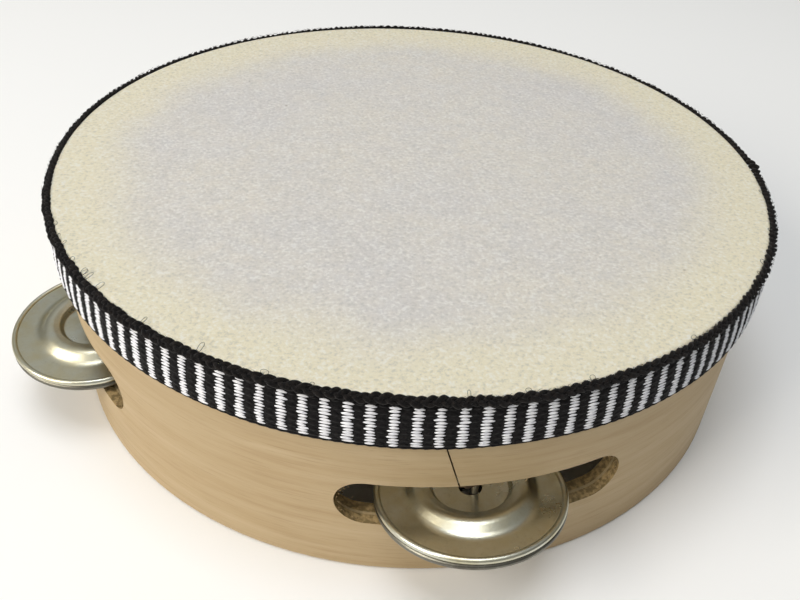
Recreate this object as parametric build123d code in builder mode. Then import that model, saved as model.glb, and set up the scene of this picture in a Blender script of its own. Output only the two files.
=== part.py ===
"""Tambourine: a two-ply wooden hoop with a glued skin head, woven edge tape and four pairs of jingles.

Millimetres, +Z up. The origin is the centre of the hoop's lower edge, on the drum's axis.
Pin 1 is on the -Y side. Five places about 72 degrees apart go round the hoop, anticlockwise from above:
four hold a pair of jingles, and the second, at 72 degrees, is left whole for the player's hand.
"""
import os
from math import radians, sin, sqrt

from build123d import *

# Hoop
HOOP_RADIUS = 100.0        # outer face of the outer ply
PLY_THICKNESS = 3.0        # each of the two glued plies
HOOP_HEIGHT = 59.0
EDGE_BREAK = 0.5           # sanded-off outer edges of the hoop
SEAM_WIDTH = 0.35          # open line where a ply's two ends meet
SEAM_LEAN = 17.0           # degrees that a seam leans from upright
OUTER_SEAM_AT = -1.4       # azimuths, anticlockwise from -Y
INNER_SEAM_AT = 158.0

# Slots
SLOT_LENGTH = 69.0
SLOT_HEIGHT = 14.1
SLOT_MID = 24.15           # height of the slots' middles above the lower edge
SLOTS_AT = [2.3, 144.7, 215.1, 285.6]     # azimuths of the slots' middles

# Head, edge tape and edge cord
SKIN_THICKNESS = 0.5
TAPE_THICKNESS = 1.2
TAPE_HEIGHT = 11.8
TAPE_BELOW_HEAD = 2.1      # the tape's upper edge, under the cord
SKIRT_ABOVE_TAPE_EDGE = 1.0
TAPE_LAP_ANGLE = 8.0       # the tape's end laps over its start
TAPE_LAP_AT = 84.0
CORD_DIAMETER = 3.0
CORD_RADIUS = 101.9        # from the drum's axis to the cord's middle
CORD_BELOW_HEAD = 1.9      # depth of the cord's middle under the head's top
CORD_JOIN_GAP = 0.2        # degrees left open where the cord's ends meet

# Pins
PIN_DIAMETER = 1.8
PIN_RADIUS = 95.4          # from the drum's axis to the pins
PINS_AT = [1.3, 144, 216, 286.3]          # azimuths
PIN_BELOW_SLOT = 9.0
PIN_HEAD_DIAMETER = 2.6
PIN_HEAD_THICKNESS = 0.9

# Jingles: radii, and heights above the plane where the two rims of a pair meet
JINGLE_RADIUS = 22.9
BEAD_RADIUS = 0.8          # rolled rim
SHEET = 0.45
RIM_EDGE = (21.4, 1.1)     # where the sheet runs into the rolled rim
CROWN_FOOT = (16.0, 1.3)
CROWN_PEAK = (12.6, 3.7)   # corner that the ring-shaped crown is rounded from
LIP = (9.6, 2.9)           # edge of the sunken middle
SUNK = (9.0, 1.6)
BENDS = [3.5, 3.0, 0.7, 0.5]              # radii at the foot, the crown, the lip and the sunken middle
JINGLE_HOLE_RADIUS = 2.8
REST_GAP = 0.05            # left between pieces that lie on each other
# How each pair lies on its slot's floor: millimetres that it has slid inward and along the slot on its
# loose pin, then the degrees that its outer side and its right side are tipped up
PAIR_LIES = [(1.5, -0.4, 9.0, 1.8), (0.5, -0.4, 4.0, -1.5), (-0.2, 0.3, -2.0, 2.0), (0.0, -1.0, -2.8, -3.2)]

# Sizes that follow from them
MID_RADIUS = HOOP_RADIUS - PLY_THICKNESS
INNER_RADIUS = HOOP_RADIUS - 2 * PLY_THICKNESS
SKIN_OUTER = HOOP_RADIUS + SKIN_THICKNESS
TAPE_OUTER = SKIN_OUTER + TAPE_THICKNESS
HEAD_TOP = HOOP_HEIGHT + SKIN_THICKNESS
TAPE_TOP = HEAD_TOP - TAPE_BELOW_HEAD
TAPE_BOTTOM = TAPE_TOP - TAPE_HEIGHT
SKIRT_BOTTOM = TAPE_BOTTOM + SKIRT_ABOVE_TAPE_EDGE
SLOT_BOTTOM = SLOT_MID - SLOT_HEIGHT / 2
SLOT_TOP = SLOT_MID + SLOT_HEIGHT / 2
PIN_TIP = SLOT_BOTTOM - PIN_BELOW_SLOT

os.makedirs("parts", exist_ok=True)


def finish(builder, name):
    """Labels a finished piece and writes it."""
    builder.part.label = name
    export_step(builder.part, f"parts/{name}.step")


def facing(azimuth):
    """The upright plane through the drum's axis that faces outward at an azimuth."""
    across = Vector(1, 0, 0).rotate(Axis.Z, azimuth)
    outward = Vector(0, -1, 0).rotate(Axis.Z, azimuth)
    return Plane((0, 0, 0), x_dir=across, z_dir=outward)


def ring(inner, outer, bottom, top):
    """Adds a plain upright ring."""
    with BuildSketch(Plane.XY.offset(bottom)) as section:
        Circle(outer)
        Circle(inner, mode=Mode.SUBTRACT)
    extrude(section.sketch, amount=top - bottom)


def cut_slots():
    """Routs the rounded slots straight through the hoop."""
    for azimuth in SLOTS_AT:
        with BuildSketch(facing(azimuth)) as slot:
            with Locations((0, SLOT_MID)):
                SlotOverall(SLOT_LENGTH, SLOT_HEIGHT)
        extrude(slot.sketch, amount=HOOP_RADIUS + 5, mode=Mode.SUBTRACT)


def cut_pin_holes():
    """Drills the pins' blind holes down from the top edge, with a recess for each head."""
    for azimuth in PINS_AT:
        with BuildSketch(Plane.XY.offset(PIN_TIP)) as shank:
            with PolarLocations(PIN_RADIUS, 1, start_angle=azimuth - 90):
                Circle(PIN_DIAMETER / 2)
        extrude(shank.sketch, amount=HOOP_HEIGHT, mode=Mode.SUBTRACT)
        with BuildSketch(Plane.XY.offset(HOOP_HEIGHT - PIN_HEAD_THICKNESS)) as head:
            with PolarLocations(PIN_RADIUS, 1, start_angle=azimuth - 90):
                Circle(PIN_HEAD_DIAMETER / 2)
        extrude(head.sketch, amount=HOOP_HEIGHT, mode=Mode.SUBTRACT)


def cut_seam(azimuth):
    """Opens the slanted line where a ply's two ends meet."""
    with BuildSketch(facing(azimuth)) as seam:
        with Locations((0, HOOP_HEIGHT / 2)):
            Rectangle(SEAM_WIDTH, 2 * HOOP_HEIGHT, rotation=SEAM_LEAN)
    extrude(seam.sketch, amount=HOOP_RADIUS + 5, mode=Mode.SUBTRACT)


# Hoop: two bent plies, glued face to face, each with its own slanted seam
with BuildPart() as outer_ply:
    ring(MID_RADIUS, HOOP_RADIUS, 0, HOOP_HEIGHT)
    chamfer(outer_ply.edges().filter_by(GeomType.CIRCLE).sort_by(SortBy.RADIUS)[-2:], EDGE_BREAK)
    cut_slots()
    cut_seam(OUTER_SEAM_AT)
finish(outer_ply, "outer_ply")

with BuildPart() as inner_ply:
    ring(INNER_RADIUS, MID_RADIUS, 0, HOOP_HEIGHT)
    cut_slots()
    cut_pin_holes()
    cut_seam(INNER_SEAM_AT)
finish(inner_ply, "inner_ply")

# Head: one skin, stretched over the hoop's top edge and glued down its outside under the tape
with BuildPart() as head_skin:
    with BuildSketch(Plane.XY.offset(SKIRT_BOTTOM)):
        Circle(SKIN_OUTER)
    extrude(amount=HEAD_TOP - SKIRT_BOTTOM)
    fillet(head_skin.edges().sort_by(Axis.Z)[-1], EDGE_BREAK + SKIN_THICKNESS)
    offset(amount=-SKIN_THICKNESS, openings=head_skin.faces().sort_by(Axis.Z)[0])
finish(head_skin, "head_skin")

# Tape: woven ribbon glued round the skin's turned-down edge, its end lapped over its start under the cord
with BuildPart() as striped_tape:
    ring(SKIN_OUTER, TAPE_OUTER, TAPE_BOTTOM, TAPE_TOP)
    with BuildSketch(Plane.XY.offset(TAPE_BOTTOM)):
        with BuildLine():
            inner_arc = CenterArc((0, 0), TAPE_OUTER, TAPE_LAP_AT - 90, TAPE_LAP_ANGLE)
            outer_arc = CenterArc((0, 0), TAPE_OUTER + TAPE_THICKNESS, TAPE_LAP_AT - 90, TAPE_LAP_ANGLE)
            Line(inner_arc @ 0, outer_arc @ 0)
            Line(inner_arc @ 1, outer_arc @ 1)
        make_face()
    extrude(amount=HEAD_TOP - CORD_BELOW_HEAD - CORD_DIAMETER / 2 - TAPE_BOTTOM)
finish(striped_tape, "striped_tape")

# Cord: glued round the skin's turned edge on top of the tape, and pressed a little flat on both
with BuildPart() as edge_cord:
    with BuildSketch(Plane.XZ):
        with Locations((CORD_RADIUS, HEAD_TOP - CORD_BELOW_HEAD)):
            Circle(CORD_DIAMETER / 2)
        with Locations((SKIN_OUTER, HEAD_TOP)):
            Rectangle(CORD_DIAMETER, 3 * CORD_DIAMETER, align=(Align.MAX, Align.CENTER), mode=Mode.SUBTRACT)
        with Locations((TAPE_OUTER, TAPE_TOP)):
            Rectangle(CORD_DIAMETER, CORD_DIAMETER, align=(Align.MAX, Align.MAX), mode=Mode.SUBTRACT)
    revolve(axis=Axis.Z, revolution_arc=360 - CORD_JOIN_GAP)
finish(edge_cord, "edge_cord")

# Pins: one flat-headed nail across each slot, driven down from the hoop's top edge
for number, azimuth in enumerate(PINS_AT, 1):
    with BuildPart() as pin:
        with BuildSketch(Plane.XY.offset(PIN_TIP)):
            with PolarLocations(PIN_RADIUS, 1, start_angle=azimuth - 90):
                Circle(PIN_DIAMETER / 2)
        extrude(amount=HOOP_HEIGHT - PIN_TIP)
        with BuildSketch(Plane.XY.offset(HOOP_HEIGHT - PIN_HEAD_THICKNESS)):
            with PolarLocations(PIN_RADIUS, 1, start_angle=azimuth - 90):
                Circle(PIN_HEAD_DIAMETER / 2)
        extrude(amount=PIN_HEAD_THICKNESS)
    finish(pin, f"jingle_pin_{number}")

# Jingles: stamped discs with a rolled rim, a ring-shaped crown and a sunken middle
with BuildPart() as upper_disc:
    with BuildSketch(Plane.XZ):
        with BuildLine():
            FilletPolyline(RIM_EDGE, CROWN_FOOT, CROWN_PEAK, LIP, SUNK, (JINGLE_HOLE_RADIUS, SUNK[1]), radius=BENDS)
            offset(amount=SHEET, side=Side.LEFT)
        make_face()
        with Locations((JINGLE_RADIUS - BEAD_RADIUS, BEAD_RADIUS)):
            Circle(BEAD_RADIUS)
    revolve(axis=Axis.Z)
with BuildPart() as lower_disc:
    mirror(upper_disc.part, about=Plane.XY)

# Each pair lies rims together and a little tipped, with its lower crown on the slot's floor
crown_height = upper_disc.part.bounding_box().max.Z
floor_edge = sqrt(INNER_RADIUS**2 - CROWN_PEAK[0]**2)   # inner edge of a slot's floor, beside the crown
for number, (inward, along, outer_up, right_up) in enumerate(PAIR_LIES, 1):
    middle = PIN_RADIUS - inward
    tip, roll = sin(radians(outer_up)), sin(radians(abs(right_up)))
    lift = max((middle - floor_edge) * tip, (middle - HOOP_RADIUS) * tip) + CROWN_PEAK[0] * roll
    rims_meet = SLOT_BOTTOM + crown_height + lift + REST_GAP
    for side, disc, gap in (("upper", upper_disc, REST_GAP), ("lower", lower_disc, 0)):
        with BuildPart() as jingle:
            with Locations(Location((0, 0, 0), (0, 0, PINS_AT[number - 1]))):
                with Locations(Location((along, -middle, rims_meet), (-outer_up, -right_up, 0))):
                    with Locations((0, 0, gap)):
                        add(disc.part)
        finish(jingle, f"jingle_{number}_{side}")
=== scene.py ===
import math
import random

import bpy
import numpy as np
from mathutils import Matrix, Vector


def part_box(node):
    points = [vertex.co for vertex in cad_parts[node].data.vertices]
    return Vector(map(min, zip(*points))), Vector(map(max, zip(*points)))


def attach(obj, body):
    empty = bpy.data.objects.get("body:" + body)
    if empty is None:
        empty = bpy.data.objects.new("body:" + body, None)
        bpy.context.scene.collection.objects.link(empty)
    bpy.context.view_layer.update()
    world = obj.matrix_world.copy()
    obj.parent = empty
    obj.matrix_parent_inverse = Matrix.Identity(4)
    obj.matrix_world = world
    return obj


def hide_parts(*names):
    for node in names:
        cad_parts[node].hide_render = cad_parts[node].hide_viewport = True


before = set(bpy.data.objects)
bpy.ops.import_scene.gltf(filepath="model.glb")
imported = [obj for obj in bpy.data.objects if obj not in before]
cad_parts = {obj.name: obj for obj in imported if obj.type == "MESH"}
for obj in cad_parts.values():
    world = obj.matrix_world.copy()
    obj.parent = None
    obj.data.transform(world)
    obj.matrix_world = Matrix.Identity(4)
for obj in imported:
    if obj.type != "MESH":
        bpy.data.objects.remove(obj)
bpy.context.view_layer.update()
MM = 0.001


# The view: a hand-held look down on the drum from its front jingle, a little to the left, with the camera
# tipped by a few degrees.
EYE = Vector((-39.65, -217.08, 178.35)) * MM
TURN, DOWN, ROLL = math.radians(9.97), math.radians(38.96), math.radians(3.40)
LENS, SHIFT = 37.85, (0.0019, 0.0153)

ahead = Vector((math.sin(TURN) * math.cos(DOWN), math.cos(TURN) * math.cos(DOWN), -math.sin(DOWN)))
level = Vector((math.cos(TURN), -math.sin(TURN), 0))
over = level.cross(ahead)
right = level * math.cos(ROLL) + over * math.sin(ROLL)
camera_up = over * math.cos(ROLL) - level * math.sin(ROLL)
camera = bpy.data.objects.new("camera", bpy.data.cameras.new("camera"))
bpy.context.collection.objects.link(camera)
camera.matrix_world = Matrix.Translation(EYE) @ Matrix((right, camera_up, -ahead)).transposed().to_4x4()
camera.data.lens = LENS
camera.data.shift_x, camera.data.shift_y = SHIFT
camera.data.clip_start = 0.01
bpy.context.scene.camera = camera


# The table: a plain matt white board that the drum stands on with its open side down, under soft daylight
# from a window on the left and a pale ceiling.
BOARD = 3.0
DROP = 0.0002                 # keeps the board just clear of the hoop's edge


def rgb(value, alpha=True):
    """Linear colour of an sRGB hex value."""
    out = []
    for at in (1, 3, 5):
        c = int(value[at:at + 2], 16) / 255
        out.append(c / 12.92 if c <= 0.04045 else ((c + 0.055) / 1.055) ** 2.4)
    return (*out, 1.0) if alpha else tuple(out)


def add(tree, kind, inputs=None, **settings):
    """Adds one shader node with its settings; an input is a number, a colour or another node's socket."""
    made = tree.nodes.new("ShaderNode" + kind)
    for name, value in settings.items():
        setattr(made, name, value)
    for name, value in (inputs or {}).items():
        if isinstance(value, bpy.types.NodeSocket):
            tree.links.new(value, made.inputs[name])
        else:
            made.inputs[name].default_value = value
    return made


def new_material(name, **principled):
    """An empty material with one Principled shader; the settings are its sockets, spaces written as _."""
    made = bpy.data.materials.new(name)
    made.use_nodes = True
    tree = made.node_tree
    shader = tree.nodes["Principled BSDF"]
    for key, value in principled.items():
        shader.inputs[key.replace("_", " ")].default_value = value
    return made, tree, shader


def make_piece(name, points, faces, material):
    """A smooth-shaded mesh object in the drum's own frame, from points in millimetres."""
    mesh = bpy.data.meshes.new(name)
    mesh.from_pydata((np.asarray(points, float) * MM).tolist(), [], [tuple(int(i) for i in f) for f in faces])
    mesh.polygons.foreach_set("use_smooth", [True] * len(mesh.polygons))
    mesh.materials.append(material)
    mesh.update()
    piece = bpy.data.objects.new(name, mesh)
    bpy.context.collection.objects.link(piece)
    return piece


# matt white paint on board: it takes soft shadows and shows no gloss
board_paint, tree, shader = new_material("matt_white_board", Base_Color=rgb("#f4f4f2"), Roughness=0.85)
corners = [(x * BOARD / MM, y * BOARD / MM, -DROP / MM) for x, y in ((-1, -1), (1, -1), (1, 1), (-1, 1))]
board = make_piece("board", corners, [(0, 1, 2, 3)], board_paint)

room = bpy.data.worlds.new("pale_room")
room.use_nodes = True
tree = room.node_tree
way = add(tree, "TexCoord").outputs["Generated"]
height = add(tree, "SeparateXYZ", {"Vector": way}).outputs["Z"]
rise = add(tree, "MapRange", {"Value": height, "From Min": 0.02, "From Max": 0.7}).outputs["Result"]
walls = add(tree, "Mix", {0: rise, 6: rgb("#7a7a6e"), 7: rgb("#f1f3f2")}, data_type="RGBA").outputs[2]
# the side of the room away from the window is dimmer
toward = add(tree, "SeparateXYZ", {"Vector": way}).outputs["X"]
dim = add(tree, "MapRange", {"Value": toward, "From Min": 0.0, "From Max": 0.9, "To Max": 0.6}).outputs["Result"]
walls = add(tree, "Mix", {0: dim, 6: walls, 7: rgb("#6f6c64")}, data_type="RGBA").outputs[2]
tree.links.new(walls, tree.nodes["Background"].inputs["Color"])
tree.nodes["Background"].inputs["Strength"].default_value = 0.5
bpy.context.scene.world = room
bpy.context.scene.view_settings.view_transform = "Standard"

for name, spot, size, power, tint in (("window", (-1.2, -0.5, 0.8), 0.9, 16.5, "#fff8ee"),
                                      ("ceiling", (-0.12, -0.15, 1.5), 0.8, 10.0, "#f3f6fd")):
    lamp = bpy.data.lights.new(name, "AREA")
    lamp.size, lamp.energy, lamp.color = size, power, rgb(tint, alpha=False)
    light = bpy.data.objects.new(name, lamp)
    light.location = spot
    light.rotation_euler = (-Vector(spot)).to_track_quat("-Z", "Y").to_euler()
    bpy.context.collection.objects.link(light)


# Hoop: two bent plies of pale poplar glued face to face, sanded and left bare. The grain runs round the
# hoop, and the routed slots and cut edges are rougher, browner and fuzzy.
HOOP_RADIUS = 100.0
GRAIN_LONG, GRAIN_FINE = 9.0, 0.38         # length and width of the finest grain lines that show
STREAK_LONG, STREAK_WIDE = 26.0, 1.3
FIGURE_LONG, FIGURE_WIDE = 70.0, 5.0       # broad darker and lighter bands
INNER_SEAM_AT = 158
SEAM_SLOPE, SEAM_FOOT = 0.306, -0.0067     # a seam's lean, and its place at the lower edge in metres
GLUE_LINE, GLUE_HALF = 0.097, 0.00035      # radius where the plies meet, and half the line's width, in metres

for ply, turn in (("outer_ply", 0.0), ("inner_ply", math.radians(-INNER_SEAM_AT))):
    # bare poplar: matt and pale, with fine grain lines, wider streaks and slow bands round the hoop
    wood, tree, shader = new_material("bare_poplar_" + ply, Roughness=0.62)
    place = add(tree, "TexCoord")
    turned = add(tree, "VectorRotate", {"Vector": place.outputs["Object"], "Angle": turn},
                 rotation_type="Z_AXIS")
    split = add(tree, "SeparateXYZ", {"Vector": turned.outputs["Vector"]}).outputs
    # the angle is counted from the ply's own leaning seam, so that the grain breaks there
    lean = add(tree, "Math", {0: split["Z"], 1: SEAM_SLOPE, 2: SEAM_FOOT}, operation="MULTIPLY_ADD").outputs[0]
    x = add(tree, "Math", {0: split["X"], 1: lean}, operation="ADD").outputs[0]
    angle = add(tree, "Math", {0: x, 1: split["Y"]}, operation="ARCTAN2").outputs[0]
    flat = add(tree, "CombineXYZ", {"X": split["X"], "Y": split["Y"], "Z": 0.0}).outputs[0]
    radius = add(tree, "VectorMath", {0: flat}, operation="LENGTH").outputs["Value"]

    def grain(long, wide, detail, lift=0.0):
        """Noise stretched round the hoop: long and wide are its size in millimetres."""
        at = add(tree, "CombineXYZ", {
            "X": add(tree, "Math", {0: angle, 1: HOOP_RADIUS / long}, operation="MULTIPLY").outputs[0],
            "Y": add(tree, "Math", {0: split["Z"], 1: 1000 / wide, 2: lift},
                     operation="MULTIPLY_ADD").outputs[0],
            "Z": add(tree, "Math", {0: radius, 1: 1000 / wide}, operation="MULTIPLY").outputs[0]}).outputs[0]
        return add(tree, "TexNoise", {"Vector": at, "Scale": 1.0, "Detail": detail, "Roughness": 0.6}).outputs[0]

    figure = grain(FIGURE_LONG, FIGURE_WIDE, 3)
    fine = grain(GRAIN_LONG, GRAIN_FINE, 3, 7.0)
    streaks = grain(STREAK_LONG, STREAK_WIDE, 2, 3.0)
    blotch = add(tree, "TexNoise", {"Vector": place.outputs["Object"], "Scale": 22.0, "Detail": 2.0}).outputs[0]
    share = add(tree, "MapRange", {"Value": figure, "From Min": 0.3, "From Max": 0.7}).outputs[0]
    base = add(tree, "Mix", {0: share, 6: rgb("#b0976f"), 7: rgb("#bfa985")}, data_type="RGBA").outputs[2]
    share = add(tree, "MapRange", {"Value": streaks, "From Min": 0.52, "From Max": 0.72,
                                   "To Max": 0.38}).outputs[0]
    base = add(tree, "Mix", {0: share, 6: base, 7: rgb("#a0835b")}, data_type="RGBA").outputs[2]
    share = add(tree, "MapRange", {"Value": fine, "From Min": 0.56, "From Max": 0.75, "To Max": 0.4}).outputs[0]
    base = add(tree, "Mix", {0: share, 6: base, 7: rgb("#8f7550")}, data_type="RGBA").outputs[2]
    share = add(tree, "MapRange", {"Value": blotch, "From Min": 0.35, "From Max": 0.7, "To Max": 0.35}).outputs[0]
    base = add(tree, "Mix", {0: share, 6: base, 7: rgb("#b39e7a")}, data_type="RGBA").outputs[2]
    # a cut face is one that doesn't face outward or inward
    outward = add(tree, "VectorMath", {0: flat}, operation="NORMALIZE").outputs[0]
    normal = add(tree, "VectorRotate", {"Vector": place.outputs["Normal"], "Angle": turn},
                 rotation_type="Z_AXIS").outputs[0]
    facing = add(tree, "VectorMath", {0: normal, 1: outward}, operation="DOT_PRODUCT").outputs["Value"]
    facing = add(tree, "Math", {0: facing}, operation="ABSOLUTE").outputs[0]
    cut = add(tree, "MapRange", {"Value": facing, "From Min": 0.8, "From Max": 0.5}).outputs[0]
    torn = add(tree, "TexNoise", {"Vector": place.outputs["Object"], "Scale": 900.0, "Detail": 3.0}).outputs[0]
    share = add(tree, "MapRange", {"Value": torn, "From Min": 0.4, "From Max": 0.62}).outputs[0]
    raw = add(tree, "Mix", {0: share, 6: rgb("#7d6a45"), 7: rgb("#b79c6c")}, data_type="RGBA").outputs[2]
    # the glue between the plies shows as a paler line in the cuts
    glue = add(tree, "Math", {0: radius, 1: GLUE_LINE, 2: GLUE_HALF}, operation="COMPARE").outputs[0]
    glue = add(tree, "Math", {0: glue, 1: 0.6}, operation="MULTIPLY").outputs[0]
    raw = add(tree, "Mix", {0: glue, 6: raw, 7: rgb("#c9b48c")}, data_type="RGBA").outputs[2]
    base = add(tree, "Mix", {0: cut, 6: base, 7: raw}, data_type="RGBA").outputs[2]
    tree.links.new(base, shader.inputs["Base Color"])
    rough = add(tree, "MapRange", {"Value": fine, "To Min": 0.5, "To Max": 0.78}).outputs[0]
    tree.links.new(rough, shader.inputs["Roughness"])
    relief = add(tree, "Mix", {0: cut, 2: fine, 3: torn}).outputs[0]
    bump = add(tree, "Bump", {"Height": relief, "Strength": 0.35, "Distance": 0.0003}).outputs[0]
    tree.links.new(bump, shader.inputs["Normal"])
    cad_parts[ply].data.materials.clear()
    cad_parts[ply].data.materials.append(wood)


# Torn grain at the slots: the cutter leaves short slivers standing round each slot's ends.
SLOTS_AT = [2.3, 144.7, 215.1, 285.6]
SLOT_MID, SLOT_HALF = 24.15, 7.05
SLOT_END = 34.5 - SLOT_HALF        # where the slot's straight part ends
SLIVERS = 85                       # round each slot
rng = random.Random(11)


def tube(points, radii, sides, verts, faces):
    """Appends a round tube with tapered closed ends along points."""
    path = np.asarray(points, float)
    along = np.gradient(path, axis=0)
    along /= np.linalg.norm(along, axis=1)[:, None]
    side = np.cross(along[0], (0.31, 0.27, 0.91))
    side /= np.linalg.norm(side)
    first = len(verts)
    for i, (spot, run) in enumerate(zip(path, along)):
        side = side - run * np.dot(side, run)
        side /= np.linalg.norm(side)
        other = np.cross(run, side)
        for k in range(sides):
            a = 2 * math.pi * k / sides
            verts.append(spot + radii[i] * (side * math.cos(a) + other * math.sin(a)))
    for i in range(len(path) - 1):
        for k in range(sides):
            a, b = first + i * sides + k, first + i * sides + (k + 1) % sides
            faces.append((a, b, b + sides, a + sides))
    faces.append(tuple(first + k for k in reversed(range(sides))))
    faces.append(tuple(first + (len(path) - 1) * sides + k for k in range(sides)))


def on_hoop(azimuth, across, radius, z):
    """A point of the hoop: degrees round from the front, millimetres across from there, out and up."""
    a = math.radians(azimuth) + across / HOOP_RADIUS
    return np.array((radius * math.sin(a), -radius * math.cos(a), z))


# torn poplar: fuzzy and quite matt, darker where it is frayed
sliver_wood, tree, shader = new_material("torn_poplar", Base_Color=rgb("#a88a5c"), Roughness=0.9)
shade = add(tree, "TexNoise", {"Vector": add(tree, "TexCoord").outputs["Object"], "Scale": 600.0}).outputs[0]
share = add(tree, "MapRange", {"Value": shade, "From Min": 0.35, "From Max": 0.65}).outputs[0]
tone = add(tree, "Mix", {0: share, 6: rgb("#7a6140"), 7: rgb("#cbb083")}, data_type="RGBA").outputs[2]
tree.links.new(tone, shader.inputs["Base Color"])
verts, faces = [], []
for azimuth in SLOTS_AT:
    for _ in range(SLIVERS):
        # a spot on the slot's rim: most are on the round ends
        end, lift = rng.choice((-1, 1)), rng.uniform(-1.45, 1.45)
        x = end * (SLOT_END + SLOT_HALF * math.cos(lift))
        z = SLOT_MID + SLOT_HALF * math.sin(lift)
        if rng.random() < 0.22:
            x, z = rng.uniform(-SLOT_END, SLOT_END), SLOT_MID + SLOT_HALF * rng.choice((-1, 1))
        r = rng.choice((rng.uniform(99.3, 99.9), rng.uniform(94.3, 99.9)))
        length = rng.uniform(0.5, 1.7)
        if abs(x) > SLOT_END:
            inward = -end * math.cos(lift) * 0.5 / 8, (SLOT_MID - z) / 8
        else:
            inward = rng.uniform(-0.6, 0.6), math.copysign(0.8, SLOT_MID - z)
        start = on_hoop(azimuth, x, r, z)
        tip = on_hoop(azimuth, x + inward[0] * length + rng.uniform(-0.5, 0.5), r + rng.uniform(-0.3, 0.35),
                      z + inward[1] * length + rng.uniform(-0.3, 0.3))
        middle = (start + tip) / 2 + np.array([rng.uniform(-0.15, 0.15) for _ in range(3)])
        thick = rng.uniform(0.05, 0.13)
        tube((start, middle, tip), (thick, thick * 0.8, 0.015), 4, verts, faces)
slivers = make_piece("slot_slivers", verts, faces, sliver_wood)

# one longer torn splinter hangs over the front slot, just beside the seam; its near-black colour is painted shade
# painted shade: the splinter's torn grain is coloured near-black brown to stand for the shadow under the slot's top
# edge
shaded_splinter_wood, tree, shader = new_material("painted_shade_torn_poplar", Roughness=0.9)
shade = add(tree, "TexNoise", {"Vector": add(tree, "TexCoord").outputs["Object"], "Scale": 900.0}).outputs[0]
tone = add(tree, "Mix", {0: shade, 6: rgb("#1e140c"), 7: rgb("#5e4429")}, data_type="RGBA").outputs[2]
tree.links.new(tone, shader.inputs["Base Color"])
slot_top = SLOT_MID + SLOT_HALF
ragged = ((-3.3, 0.05), (-2.6, 0.5), (-2.0, 0.45), (-1.5, 0.95), (-0.9, 1.2),
          (-0.5, 0.7), (0.1, 0.75), (0.6, 0.4), (1.2, 0.45), (1.9, 0.05))
verts, faces = [], []
for x, hang in ragged:
    for r, up, down in ((99.85, 0.1, 0), (99.95, 0, hang), (99.3, 0, hang * 0.8), (99.2, 0.1, 0)):
        verts.append(on_hoop(0, x, r, slot_top + up - down))
for first in range(0, 4 * (len(ragged) - 1), 4):
    for k in range(4):
        beside = (k + 1) % 4
        faces.append((first + k, first + beside, first + 4 + beside, first + 4 + k))
faces += [(3, 2, 1, 0), tuple(4 * len(ragged) - 4 + k for k in range(4))]
splinter = make_piece("seam_splinter", verts, faces, shaded_splinter_wood)
for piece in (slivers, splinter):
    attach(piece, "shell")


# Head: one thin natural skin, soaked, stretched over the hoop's top edge and glued down its outside. It is
# cream where it was pulled over the hoop and dries to a pale grey, faintly blotched middle.
HEAD_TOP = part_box("head_skin")[1][2] / MM
SKIRT_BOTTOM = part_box("head_skin")[0][2] / MM
SKIN, SKIN_OUTER, BEND = 0.5, 100.5, 1.0
ROUND = 360


def waves(x, y, seed, size):
    """A smooth random height field of a few crossed sine waves, size in millimetres."""
    draw = random.Random(seed)
    total = np.zeros_like(x)
    for _ in range(9):
        a, wide, start = draw.uniform(0, math.pi), size * draw.uniform(0.6, 1.7), draw.uniform(0, 6.28)
        total += np.sin((x * math.cos(a) + y * math.sin(a)) * 2 * math.pi / wide + start)
    return total / 9


def revolve(outline, name, material, height=None, steps=ROUND):
    """A closed ring or lid from an outline of (radius, z); radius 0 points become one vertex."""
    points, rows = [], []
    for r, z in outline:
        if r == 0:
            rows.append([len(points)] * steps)
            points.append((0, 0, z + (float(height(np.zeros(1), np.zeros(1))[0]) if height else 0)))
            continue
        a = np.arange(steps) * 2 * math.pi / steps
        x, y = r * np.sin(a), -r * np.cos(a)
        up = height(x, y) if height else np.zeros(steps)
        rows.append(list(range(len(points), len(points) + steps)))
        points += np.stack([x, y, z + up], 1).tolist()
    made = []
    closed = rows if outline[0][0] == 0 else rows + [rows[0]]
    for low, high in zip(closed, closed[1:]):
        for k in range(steps):
            corner = [low[k], low[(k + 1) % steps], high[(k + 1) % steps], high[k]]
            made.append(tuple(dict.fromkeys(corner)))
    return make_piece(name, points, made, material)


def skin_height(x, y):
    """Slight unevenness of the stretched skin, none over the hoop's edge."""
    r = np.hypot(x, y)
    free = np.clip((92 - r) / 25, 0, 1) ** 2
    return free * (0.16 * waves(x, y, 3, 60) + 0.05 * waves(x, y, 5, 16))


radii = list(np.linspace(0, 92, 70)) + list(np.linspace(93.2, SKIN_OUTER - BEND, 7))
bend = [(SKIN_OUTER - BEND + BEND * math.sin(a), HEAD_TOP - BEND + BEND * math.cos(a))
        for a in np.linspace(0.3, math.pi / 2, 5)]
inside = [(SKIN_OUTER - BEND + (BEND - SKIN) * math.sin(a), HEAD_TOP - BEND + (BEND - SKIN) * math.cos(a))
          for a in np.linspace(math.pi / 2, 0.3, 4)]
skirt = [(SKIN_OUTER, SKIRT_BOTTOM), (SKIN_OUTER - SKIN, SKIRT_BOTTOM)]
outline = [(r, HEAD_TOP) for r in radii] + bend + skirt + inside + [(r, HEAD_TOP - SKIN) for r in reversed(radii)]

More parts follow.
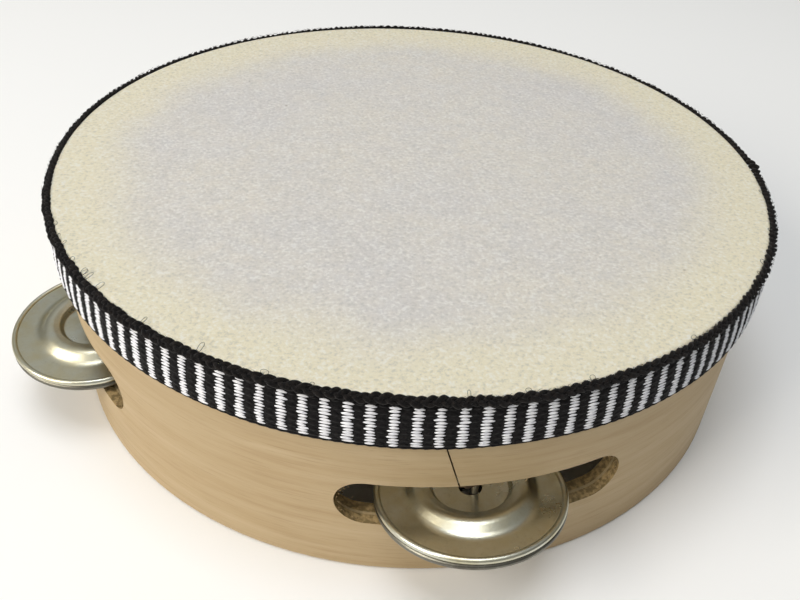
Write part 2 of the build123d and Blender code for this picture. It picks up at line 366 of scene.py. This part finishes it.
# natural skin: light goes a little way into it, so it looks soft and evenly pale, with a dry grainy surface
skin, tree, shader = new_material("natural_skin", Roughness=0.5, Specular_IOR_Level=0.35, Subsurface_Weight=0.55,
                                  Subsurface_Radius=(0.003, 0.0025, 0.002), Subsurface_Scale=1.0)
place = add(tree, "TexCoord").outputs["Object"]
flat = add(tree, "VectorMath", {0: place, 1: (1, 1, 0)}, operation="MULTIPLY").outputs[0]
radius = add(tree, "VectorMath", {0: flat}, operation="LENGTH").outputs["Value"]
soft = add(tree, "TexNoise", {"Vector": place, "Scale": 38.0, "Detail": 4.0, "Roughness": 0.6}).outputs[0]
wander = add(tree, "Math", {0: soft, 1: 0.018, 2: radius}, operation="MULTIPLY_ADD").outputs[0]
ring = add(tree, "MapRange", {"Value": wander, "From Min": 0.080, "From Max": 0.1045},
           interpolation_type="SMOOTHSTEP").outputs[0]
clouds = add(tree, "TexNoise", {"Vector": place, "Scale": 17.0, "Detail": 5.0, "Roughness": 0.62}).outputs[0]
mottle = add(tree, "TexNoise", {"Vector": place, "Scale": 210.0, "Detail": 4.0, "Roughness": 0.7}).outputs[0]
grain_and_sparkle = add(tree, "TexNoise", {"Vector": place, "Scale": 1150.0, "Detail": 2.0}).outputs[0]
share = add(tree, "MapRange", {"Value": clouds, "From Min": 0.36, "From Max": 0.64}).outputs[0]
middle = add(tree, "Mix", {0: share, 6: rgb("#d4cdc6"), 7: rgb("#dcd2c3")}, data_type="RGBA").outputs[2]
share = add(tree, "MapRange", {"Value": mottle, "From Min": 0.4, "From Max": 0.68, "To Max": 0.5}).outputs[0]
middle = add(tree, "Mix", {0: share, 6: middle, 7: rgb("#c9c4c0")}, data_type="RGBA").outputs[2]
base = add(tree, "Mix", {0: ring, 6: middle, 7: rgb("#eadcbc")}, data_type="RGBA").outputs[2]
# the skin's fine grain: its pale specks are painted sparkle, brightened near white where the grain is also glossier;
# its dark specks are the grain's own colour
share = add(tree, "MapRange", {"Value": grain_and_sparkle, "From Min": 0.53, "From Max": 0.68, "To Max": 0.45}).outputs[0]
base = add(tree, "Mix", {0: share, 6: base, 7: rgb("#fbf7ee")}, data_type="RGBA").outputs[2]
share = add(tree, "MapRange", {"Value": grain_and_sparkle, "From Min": 0.46, "From Max": 0.3, "To Max": 0.4}).outputs[0]
base = add(tree, "Mix", {0: share, 6: base, 7: rgb("#a8a49d")}, data_type="RGBA").outputs[2]
# sparse dark specks and a few faint smudges left in the hide
cells = add(tree, "TexVoronoi", {"Vector": place, "Scale": 85.0, "Randomness": 1.0}).outputs
pick = add(tree, "SeparateColor", {"Color": cells["Color"]}).outputs[0]
rare = add(tree, "Math", {0: pick, 1: 0.93}, operation="GREATER_THAN").outputs[0]
dot = add(tree, "MapRange", {"Value": cells["Distance"], "From Min": 0.05, "From Max": 0.02,
                             "To Max": 0.6}).outputs[0]
share = add(tree, "Math", {0: dot, 1: rare}, operation="MULTIPLY").outputs[0]
base = add(tree, "Mix", {0: share, 6: base, 7: rgb("#7d6b52")}, data_type="RGBA").outputs[2]
smudge = add(tree, "TexNoise", {"Vector": place, "Scale": 55.0, "Detail": 5.0, "Roughness": 0.7,
                                "Distortion": 0.6}).outputs[0]
share = add(tree, "MapRange", {"Value": smudge, "From Min": 0.66, "From Max": 0.78, "To Max": 0.3}).outputs[0]
base = add(tree, "Mix", {0: share, 6: base, 7: rgb("#a9a193")}, data_type="RGBA").outputs[2]
tree.links.new(base, shader.inputs["Base Color"])
rough = add(tree, "MapRange", {"Value": grain_and_sparkle, "From Min": 0.3, "From Max": 0.7,
                               "To Min": 0.62, "To Max": 0.36}).outputs[0]
tree.links.new(rough, shader.inputs["Roughness"])
bump = add(tree, "Bump", {"Height": grain_and_sparkle, "Strength": 0.3, "Distance": 0.00025}).outputs[0]
bump = add(tree, "Bump", {"Height": mottle, "Strength": 0.25, "Distance": 0.0006, "Normal": bump}).outputs[0]
tree.links.new(bump, shader.inputs["Normal"])

head = revolve(outline, "drum_head", skin, height=skin_height)
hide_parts("head_skin")
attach(head, "shell")


# Tape: woven ribbon, black with satin stripes of white floats, glued round the skin's turned edge. The
# ground is black thread; each stripe is a ladder of thirteen short white floats with ragged ends.
TAPE_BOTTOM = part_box("striped_tape")[0][2] / MM
TAPE_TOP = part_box("striped_tape")[1][2] / MM
TAPE_INNER, TAPE_OUTER = 100.5, 101.7
GROUND_OUT = TAPE_OUTER - 0.35
STRIPES, FIRST_STRIPE = 134, 0.2
REPEAT = 2 * math.pi * TAPE_OUTER / STRIPES    # 4.77 mm
FLOATS = 13                        # in each stripe, about 0.87 mm apart
STRIPE_WIDTH = 2.55
FLOAT_LONG, FLOAT_HIGH = 9, 5      # grid of one float

# black polyester thread: matt, with a trace of sheen and a fluff too fine to see each fibre of
black_thread, tree, shader = new_material("black_polyester_thread", Roughness=0.9, Sheen_Weight=0.06,
                                          Sheen_Roughness=0.5, Specular_IOR_Level=0.15)
place = add(tree, "TexCoord").outputs["Object"]
fluff = add(tree, "TexNoise", {"Vector": place, "Scale": 1500.0, "Detail": 3.0, "Roughness": 0.7}).outputs[0]
share = add(tree, "MapRange", {"Value": fluff, "From Min": 0.4, "From Max": 0.7}).outputs[0]
tone = add(tree, "Mix", {0: share, 6: rgb("#050506"), 7: rgb("#1d1a1b")}, data_type="RGBA").outputs[2]
tree.links.new(tone, shader.inputs["Base Color"])
bump = add(tree, "Bump", {"Height": fluff, "Strength": 0.6, "Distance": 0.0003}).outputs[0]
tree.links.new(bump, shader.inputs["Normal"])

# white satin thread: bright and softly shiny, with filaments that lie along each float
white_thread, tree, shader = new_material("white_satin_thread", Roughness=0.38, Sheen_Weight=0.25,
                                          Sheen_Roughness=0.4)
place = add(tree, "TexCoord").outputs["Object"]
split = add(tree, "SeparateXYZ", {"Vector": place}).outputs
angle = add(tree, "Math", {0: split["X"], 1: split["Y"]}, operation="ARCTAN2").outputs[0]
strand = add(tree, "CombineXYZ", {
    "X": add(tree, "Math", {0: angle, 1: 60.0}, operation="MULTIPLY").outputs[0],
    "Y": add(tree, "Math", {0: split["Z"], 1: 7000.0}, operation="MULTIPLY").outputs[0]}).outputs[0]
strand = add(tree, "TexNoise", {"Vector": strand, "Scale": 1.0, "Detail": 2.0}).outputs[0]
share = add(tree, "MapRange", {"Value": strand, "From Min": 0.35, "From Max": 0.65}).outputs[0]
tone = add(tree, "Mix", {0: share, 6: rgb("#d3d4dc"), 7: rgb("#fbfbfd")}, data_type="RGBA").outputs[2]
tree.links.new(tone, shader.inputs["Base Color"])
bump = add(tree, "Bump", {"Height": strand, "Strength": 0.5, "Distance": 0.0002}).outputs[0]
tree.links.new(bump, shader.inputs["Normal"])

edge = TAPE_TOP + 0.3
FLARE = 0.75                       # how far the loose ribbon stands off


def ground(z):
    """Radius of the black ground: the ribbon stands off a little towards its lower edge."""
    down = (edge - z) / (edge - TAPE_BOTTOM)
    return GROUND_OUT + FLARE * math.sin(min(1.0, max(0.0, down)) * 2.2)


outline = [(TAPE_INNER, TAPE_BOTTOM + 0.35), (TAPE_INNER, edge)] + [
    (ground(z), z) for z in np.linspace(edge, TAPE_BOTTOM + 0.35, 8)]
ribbon = revolve(outline[::-1], "tape_ground", black_thread)


def float_pad(azimuth, z, length, high, out, ends, verts, faces):
    """Appends one thread float: a small pillow on the ground, longer round the hoop than high."""
    first = len(verts)
    for i in range(FLOAT_LONG):
        u = 2 * i / (FLOAT_LONG - 1) - 1
        for j in range(FLOAT_HIGH):
            v = 2 * j / (FLOAT_HIGH - 1) - 1
            rise = math.sqrt(max(0.0, 1 - abs(u) ** 3)) * math.sqrt(max(0.0, 1 - v * v))
            shrink = 0.12 + 0.88 * (1 - abs(u) ** 1.7)
            verts.append(on_hoop(azimuth, u * length / 2 + ends * v * 0.1, ground(z) - 0.08 + out * rise,
                                 z + v * high / 2 * shrink - 0.1 * u * u))
    for i in range(FLOAT_LONG - 1):
        for j in range(FLOAT_HIGH - 1):
            a = first + i * FLOAT_HIGH + j
            faces.append((a, a + FLOAT_HIGH, a + FLOAT_HIGH + 1, a + 1))


rng = random.Random(23)
white, black = ([], []), ([], [])
low, high = TAPE_BOTTOM + 0.85, edge - 0.1
pitch = (high - low) / FLOATS
for n in range(STRIPES):
    at = FIRST_STRIPE + n * 360 / STRIPES + rng.uniform(-0.07, 0.07)
    wide = STRIPE_WIDTH * rng.uniform(0.92, 1.06)
    gap = REPEAT - wide
    for row in range(FLOATS):
        z = low + (row + 0.5) * pitch + rng.uniform(-0.05, 0.05)
        nudge = rng.uniform(-0.16, 0.16) + 0.08 * (-1) ** row
        length = wide + rng.uniform(-0.5, 0.35)
        float_pad(at + nudge * 0.57, z, length, pitch * rng.uniform(0.8, 0.98), rng.uniform(0.3, 0.42),
                  rng.choice((-1, 1)), *white)
        if row % 2 == 0:
            float_pad(at + 180 / STRIPES + rng.uniform(-0.1, 0.1), z + rng.uniform(0, 0.4),
                      gap * rng.uniform(0.8, 1.0), pitch * rng.uniform(1.3, 1.9), rng.uniform(0.22, 0.36),
                      rng.choice((-1, 1)), *black)
stripes = make_piece("tape_white_floats", *white, white_thread)
ribs = make_piece("tape_black_floats", *black, black_thread)

# its lower selvage: the edge thread turns back at every rib, so the edge is faintly scalloped
SELVAGE_SIDES = 8
a = np.linspace(0, 2 * math.pi, 12 * STRIPES + 1)[:-1]
wave = 0.14 * np.abs(np.sin(a * STRIPES)) + 0.12 * np.sin(a * 7 + 1) + 0.08 * np.sin(a * 17)
points, faces = [], []
for k in range(SELVAGE_SIDES):
    t = 2 * math.pi * k / SELVAGE_SIDES
    r = ground(TAPE_BOTTOM) - 0.3 + (0.52 + 0.06 * np.sin(a * STRIPES * 2)) * math.cos(t)
    z = TAPE_BOTTOM + 0.55 + wave * (0.6 - 0.4 * math.sin(t)) + 0.5 * math.sin(t)
    points.append(np.stack([r * np.sin(a), -r * np.cos(a), z], 1))
points, count = np.concatenate(points), len(a)
for k in range(SELVAGE_SIDES):
    for i in range(count):
        j, m = (i + 1) % count, (k + 1) % SELVAGE_SIDES
        faces.append((k * count + i, k * count + j, m * count + j, m * count + i))
selvage = make_piece("tape_selvage", points, faces, black_thread)
for piece in (ribbon, stripes, ribs, selvage):
    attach(piece, "shell")
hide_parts("striped_tape")


# Cord: a plait of three soft strands of black polyester, laid over the tape's top edge round the rim and
# glued. It is fuzzy, and single fibres and a few pulled loops stand up from it.
CORD_RADIUS = 101.2
CORD_Z = HEAD_TOP - 0.6
STRAND, ACROSS, DEEP = 0.58, 0.74, 0.36     # strand radius, and the plait's swing across and deep
LAY = 6.6                          # length of one full turn of the plait
TURNS = round(2 * math.pi * CORD_RADIUS / LAY)
STEPS, STRAND_SIDES = 1800, 8
LAP_AT = 83                        # where its two ends cross and are glued
FIBRES, LOOPS = 3800, 26
TILT = math.radians(38)            # the flat plait leans on the rounded edge

# black spun yarn: dull and woolly, with brownish lint on it
cord_yarn, tree, shader = new_material("black_fuzzy_yarn", Roughness=0.9, Sheen_Weight=0.08, Sheen_Roughness=0.5,
                                       Specular_IOR_Level=0.15)
place = add(tree, "TexCoord").outputs["Object"]
lint = add(tree, "TexNoise", {"Vector": place, "Scale": 1100.0, "Detail": 4.0, "Roughness": 0.75}).outputs[0]
share = add(tree, "MapRange", {"Value": lint, "From Min": 0.42, "From Max": 0.72}).outputs[0]
tone = add(tree, "Mix", {0: share, 6: rgb("#060506"), 7: rgb("#26211e")}, data_type="RGBA").outputs[2]
tree.links.new(tone, shader.inputs["Base Color"])
bump = add(tree, "Bump", {"Height": lint, "Strength": 0.7, "Distance": 0.0003}).outputs[0]
tree.links.new(bump, shader.inputs["Normal"])

rng = random.Random(31)
phase = [rng.uniform(0, 6.28) for _ in range(6)]
points, faces = [], []
a = np.arange(STEPS) * 2 * math.pi / STEPS
drift = 0.10 * np.sin(5 * a + phase[0]) + 0.07 * np.sin(13 * a + phase[1])
rise = 0.12 * np.sin(4 * a + phase[2]) + 0.08 * np.sin(11 * a + phase[3])
lap = np.exp(-((np.degrees(a) - LAP_AT) / 1.8) ** 2)
for strand in range(3):
    t = a * TURNS + strand * 2 * math.pi / 3 + 0.9 * np.sin(9 * a + phase[4]) + 0.6 * np.sin(23 * a + phase[5])
    swing = ACROSS * np.sin(t) * (1 + 0.25 * np.sin(37 * a + 2 * strand) + 0.5 * lap)
    depth = DEEP * np.sin(2 * t) * (1 + 0.4 * lap)
    r0 = CORD_RADIUS + drift - swing * math.cos(TILT) * 0.9 + depth * math.sin(TILT) + 0.5 * lap
    z0 = CORD_Z + rise + swing * math.sin(TILT) + depth * math.cos(TILT) + 0.2 * lap
    fat = STRAND * (1 + 0.16 * np.sin(31 * a + 2 * strand) + 0.10 * np.sin(83 * a + strand) + 0.3 * lap)
    base = len(points)
    for k in range(STRAND_SIDES):
        w = 2 * math.pi * k / STRAND_SIDES
        r, z = r0 + fat * math.cos(w), z0 + fat * math.sin(w)
        points.append(np.stack([r * np.sin(a), -r * np.cos(a), z], 1))
    for k in range(STRAND_SIDES):
        for i in range(STEPS):
            j, m = (i + 1) % STEPS, (k + 1) % STRAND_SIDES
            row, beside = (base + k) * STEPS, (base + m) * STEPS
            faces.append((row + i, beside + i, beside + j, row + j))
cord = make_piece("edge_cord_strands", np.concatenate(points), faces, cord_yarn)

verts, faces = [], []
for _ in range(FIBRES):
    azimuth, t = rng.uniform(0, 360), rng.uniform(-0.7, 3.3)
    length, lean = rng.uniform(0.35, 1.1), rng.uniform(-1.2, 1.2)
    out, up = math.cos(t), math.sin(t)
    body = ACROSS + STRAND - 0.45
    start = on_hoop(azimuth, 0, CORD_RADIUS + body * out, CORD_Z + body * up)
    reach = body + 0.35 * length
    middle = on_hoop(azimuth, lean * length * 0.5, CORD_RADIUS + reach * out, CORD_Z + reach * up)
    reach = body + 0.45 * length
    tip = on_hoop(azimuth, lean * length * 1.2, CORD_RADIUS + (reach + rng.uniform(-0.1, 0.1)) * out,
                  CORD_Z + (reach + rng.uniform(-0.1, 0.1)) * up)
    thick = rng.uniform(0.035, 0.06)
    tube((start, middle, tip), (thick, thick, 0.02), 3, verts, faces)
for _ in range(LOOPS):
    azimuth, wide, tall = rng.uniform(-75, 95), rng.uniform(0.35, 1.1), rng.uniform(0.6, 1.4)
    inward = rng.uniform(0.6, 2.4)
    loop = []
    for s in np.linspace(0, math.pi, 9):
        loop.append(on_hoop(azimuth, -wide * math.cos(s) * (0.6 + 0.9 * math.sin(s)),
                            CORD_RADIUS - 0.6 - inward * math.sin(s),
                            CORD_Z + 0.75 + tall * math.sin(s) ** 0.8 * 0.7))
    tube(loop, [0.055] * len(loop), 4, verts, faces)
fuzz = make_piece("edge_cord_fuzz", verts, faces, cord_yarn)
for piece in (cord, fuzz):
    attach(piece, "shell")
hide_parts("edge_cord")


# Pins: plain steel wire nails, driven down from the hoop's top edge through each slot, gone a little dull.
# drawn steel wire: a dull metal with marks along its length
steel, tree, shader = new_material("dull_steel_wire", Metallic=1.0)
place = add(tree, "TexCoord").outputs["Object"]
drawn = add(tree, "Mapping", {"Vector": place, "Scale": (2500.0, 2500.0, 120.0)}).outputs[0]
drawn = add(tree, "TexNoise", {"Vector": drawn, "Scale": 1.0, "Detail": 2.0}).outputs[0]
tone = add(tree, "Mix", {0: drawn, 6: rgb("#5d574e"), 7: rgb("#a8a196")}, data_type="RGBA").outputs[2]
tree.links.new(tone, shader.inputs["Base Color"])
rough = add(tree, "MapRange", {"Value": drawn, "To Min": 0.3, "To Max": 0.55}).outputs[0]
tree.links.new(rough, shader.inputs["Roughness"])
for name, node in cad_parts.items():
    if name.startswith("jingle_pin"):
        node.data.materials.clear()
        node.data.materials.append(steel)


# Jingles: discs stamped from thin steel sheet and nickel-plated, with a rolled rim. Tumbling leaves them
# softly bright, with fine scratches and a faint warm haze.
HAZE, TARNISH, SCRATCH = 9.0, 1.1, 0.12     # sizes of the patches, the fine spots and the scratches

# tumbled nickel plate: a blurred mirror; the lower disc of a pair is painted much darker than the upper one, as
# painted shade for its shadowed rim and underside
for side, bright, warm, least in (("upper", "#d6d7c9", "#c8c0a0", 0.26), ("lower", "#7e7c72", "#67635a", 0.33)):
    # the lower disc's dark grey tones are painted shade, standing for the shadow under the upper disc
    nickel, tree, shader = new_material("tumbled_nickel_plate_" + side, Metallic=1.0)
    place = add(tree, "TexCoord").outputs["Object"]
    haze = add(tree, "TexNoise", {"Vector": place, "Scale": 1000 / HAZE, "Detail": 5.0, "Roughness": 0.6}).outputs[0]
    fine = add(tree, "TexNoise", {"Vector": place, "Scale": 1000 / TARNISH, "Detail": 4.0,
                                  "Roughness": 0.7}).outputs[0]
    share = add(tree, "MapRange", {"Value": haze, "From Min": 0.35, "From Max": 0.68}).outputs[0]
    tone = add(tree, "Mix", {0: share, 6: rgb(bright), 7: rgb(warm)}, data_type="RGBA").outputs[2]
    share = add(tree, "MapRange", {"Value": fine, "From Min": 0.55, "From Max": 0.72, "To Max": 0.35}).outputs[0]
    tone = add(tree, "Mix", {0: share, 6: tone, 7: rgb("#aaa79a")}, data_type="RGBA").outputs[2]
    tree.links.new(tone, shader.inputs["Base Color"])
    rough = add(tree, "MapRange", {"Value": haze, "From Min": 0.3, "From Max": 0.7,
                                   "To Min": least, "To Max": least + 0.1})
    tree.links.new(rough.outputs[0], shader.inputs["Roughness"])
    long = add(tree, "Mapping", {"Vector": place, "Rotation": (0, 0, 0.6),
                                 "Scale": (1000 / SCRATCH, 400.0, 400.0)}).outputs[0]
    lines = add(tree, "TexNoise", {"Vector": long, "Scale": 1.0, "Detail": 1.0}).outputs[0]
    bump = add(tree, "Bump", {"Height": fine, "Strength": 0.16, "Distance": 0.0002}).outputs[0]
    bump = add(tree, "Bump", {"Height": lines, "Strength": 0.05, "Distance": 0.00005, "Normal": bump}).outputs[0]
    tree.links.new(bump, shader.inputs["Normal"])
    for name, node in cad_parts.items():
        if name.endswith("_" + side):
            node.data.materials.clear()
            node.data.materials.append(nickel)
